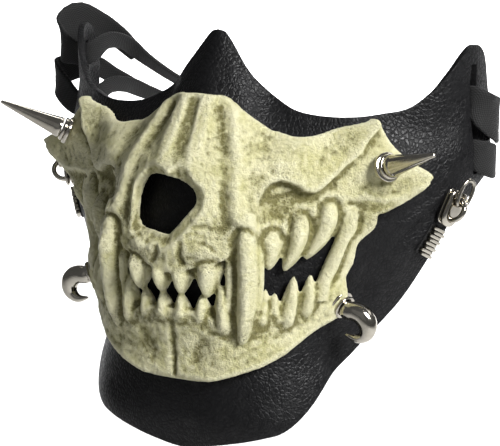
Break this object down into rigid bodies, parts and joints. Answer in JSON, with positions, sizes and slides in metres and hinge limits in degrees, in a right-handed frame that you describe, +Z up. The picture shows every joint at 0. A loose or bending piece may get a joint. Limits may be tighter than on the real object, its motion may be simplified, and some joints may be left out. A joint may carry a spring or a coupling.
{
  "type": "skull half mask",
  "caption": "Black leather half face mask with a cast animal skull muzzle, fangs, cheek spikes, hooked metal claws, rear edge zippers and straps looped behind the head.",
  "frame": {"origin": "on the vertical axis of the wearer's head at the height of the mouth, where the head holds the mask", "axes": "+Z up, the face looks along -Y, +X towards the right of the picture"},
  "size_m": [0.1883, 0.161, 0.1479],
  "materials": {
    "black_leather": "satin, pebbled grain",
    "bone_resin": "matte cast resin with a brown wash",
    "dark_chrome": "polished dark nickel",
    "black_strap": "matte woven strap"
  },
  "bodies": {
    "root": {"leather_shell": "black_leather", "skull_cast": "bone_resin", "spike_collar_left": "dark_chrome", "spike_left": "dark_chrome", "spike_collar_right": "dark_chrome", "spike_right": "dark_chrome", "claw_collar_left": "dark_chrome", "claw_left": "dark_chrome", "claw_collar_right": "dark_chrome", "claw_right": "dark_chrome", "zipper_chain_left": "dark_chrome", "zipper_slider_left": "dark_chrome", "zipper_pull_left": "dark_chrome", "zipper_chain_right": "dark_chrome", "zipper_slider_right": "dark_chrome", "zipper_pull_right": "dark_chrome", "rear_strap_upper": "black_strap", "rear_strap_lower": "black_strap"}
  },
  "joints": []
}
